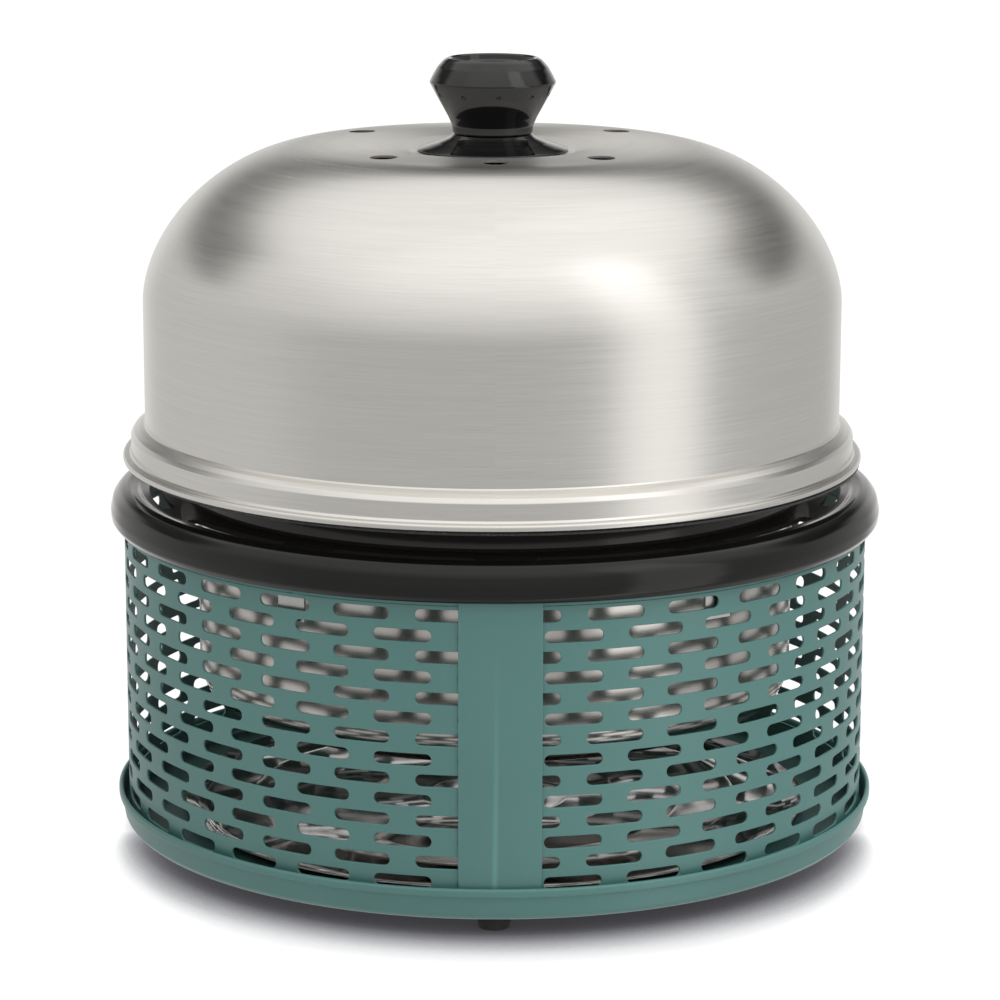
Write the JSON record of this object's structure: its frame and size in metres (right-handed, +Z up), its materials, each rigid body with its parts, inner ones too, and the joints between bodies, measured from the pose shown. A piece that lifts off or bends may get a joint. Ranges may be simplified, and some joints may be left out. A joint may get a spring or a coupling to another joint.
{
  "type": "portable charcoal cooker",
  "caption": "Table-top charcoal cooker: perforated round base with black ring, inner bowl, fire basket, grill plate and vented dome lid with knob.",
  "frame": {"origin": "on the floor, under the middle of the base", "axes": "+Z up; the front strap faces -Y"},
  "size_m": [0.321, 0.321, 0.3248],
  "materials": {
    "teal_coating": "satin powder coat",
    "lid_steel": "brushed around the axis",
    "bowl_steel": "bright drawn",
    "polished_steel": "polished, slightly wavy",
    "basket_steel": "satin",
    "fastener_steel": "satin",
    "ring_plastic": "satin to gloss",
    "knob_plastic": "high gloss",
    "plate_coating": "matt non-stick",
    "foot_rubber": "matt",
    "brass": "machined"
  },
  "bodies": {
    "base": {"base_tray": "teal_coating", "rubber_foot_1": "foot_rubber", "rubber_foot_2": "foot_rubber", "rubber_foot_3": "foot_rubber", "rubber_foot_4": "foot_rubber", "foot_screw_1": "fastener_steel", "foot_screw_2": "fastener_steel", "foot_screw_3": "fastener_steel", "foot_screw_4": "fastener_steel", "heat_reflector": "polished_steel", "perforated_sleeve": "teal_coating", "front_strap": "teal_coating", "cool_touch_ring": "ring_plastic", "ring_bracket_1": "fastener_steel", "ring_bracket_2": "fastener_steel", "ring_bracket_3": "fastener_steel", "ring_bracket_4": "fastener_steel", "ring_screw_1": "fastener_steel", "ring_screw_2": "fastener_steel", "ring_screw_3": "fastener_steel", "ring_screw_4": "fastener_steel"},
    "bowl": {"inner_bowl": "bowl_steel"},
    "basket": {"fire_basket": "basket_steel", "basket_grate": "basket_steel"},
    "bail": {"basket_bail": "basket_steel"},
    "plate": {"grill_plate": "plate_coating"},
    "lid": {"lid_dome": "lid_steel", "knob_skirt": "knob_plastic", "lid_knob": "knob_plastic", "knob_cap": "knob_plastic", "knob_insert": "brass", "knob_washer": "fastener_steel", "knob_screw": "fastener_steel"}
  },
  "joints": [
    {"name": "bowl_lift", "type": "slide", "parent": "base", "child": "bowl", "axis": [0, 0, 1], "range_m": [0, 0.13]},
    {"name": "basket_lift", "type": "slide", "parent": "bowl", "child": "basket", "axis": [0, 0, 1], "range_m": [0, 0.09]},
    {"name": "bail_hinge", "type": "hinge", "parent": "basket", "child": "bail", "pos_m": [0, 0, 0.121], "axis": [-1, 0, 0], "range_deg": [0, 90]},
    {"name": "plate_lift", "type": "slide", "parent": "basket", "child": "plate", "axis": [0, 0, 1], "range_m": [0, 0.08]},
    {"name": "lid_lift", "type": "slide", "parent": "plate", "child": "lid", "axis": [0, 0, 1], "range_m": [0, 0.16]}
  ]
}
